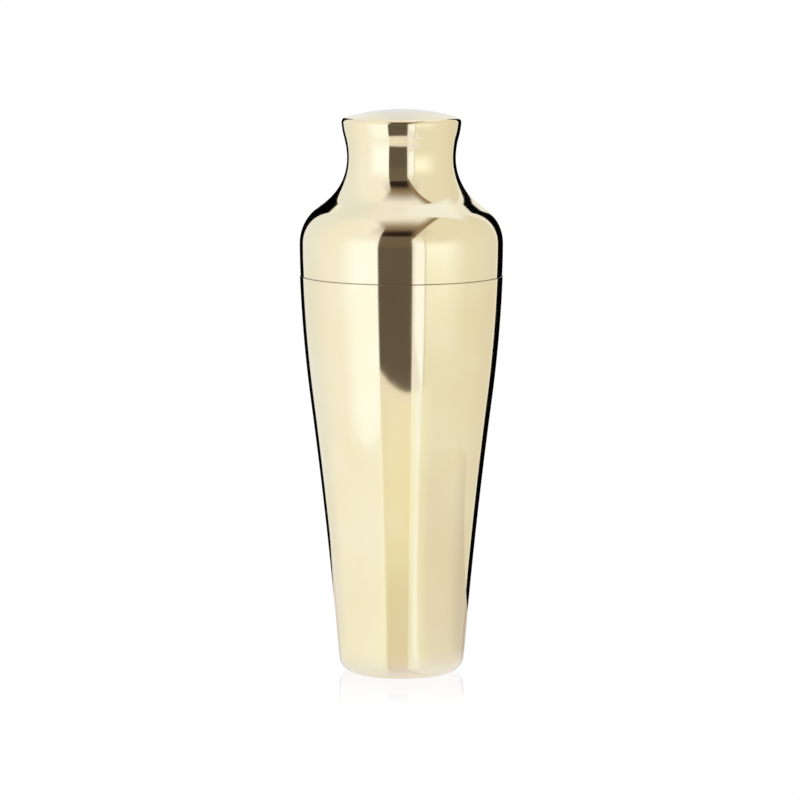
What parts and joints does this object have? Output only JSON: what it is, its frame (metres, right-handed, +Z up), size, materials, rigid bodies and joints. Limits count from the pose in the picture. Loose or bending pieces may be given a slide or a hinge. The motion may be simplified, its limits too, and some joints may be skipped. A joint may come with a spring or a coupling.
{
  "type": "cocktail shaker",
  "caption": "Tall tapered metal cup with a waisted, domed cap that lifts off; a collar inside the cap's mouth slides into the cup and centres it.",
  "frame": {"origin": "centre of the foot ring that the cup stands on, in the plane of the table", "axes": "+Z up the axis that every piece is turned about, from the base to the crown of the cap; X and Y are free"},
  "size_m": [0.0933, 0.0934, 0.2603],
  "materials": {
    "polished_gold": "polished",
    "collar_steel": "satin"
  },
  "bodies": {
    "cup": {"shaker_cup": "polished_gold"},
    "cap": {"cap_shell": "polished_gold", "cap_collar": "collar_steel"}
  },
  "joints": [
    {"name": "cap_lift", "type": "slide", "parent": "cup", "child": "cap", "axis": [0, 0, 1], "range_m": [0, 0.12]}
  ]
}
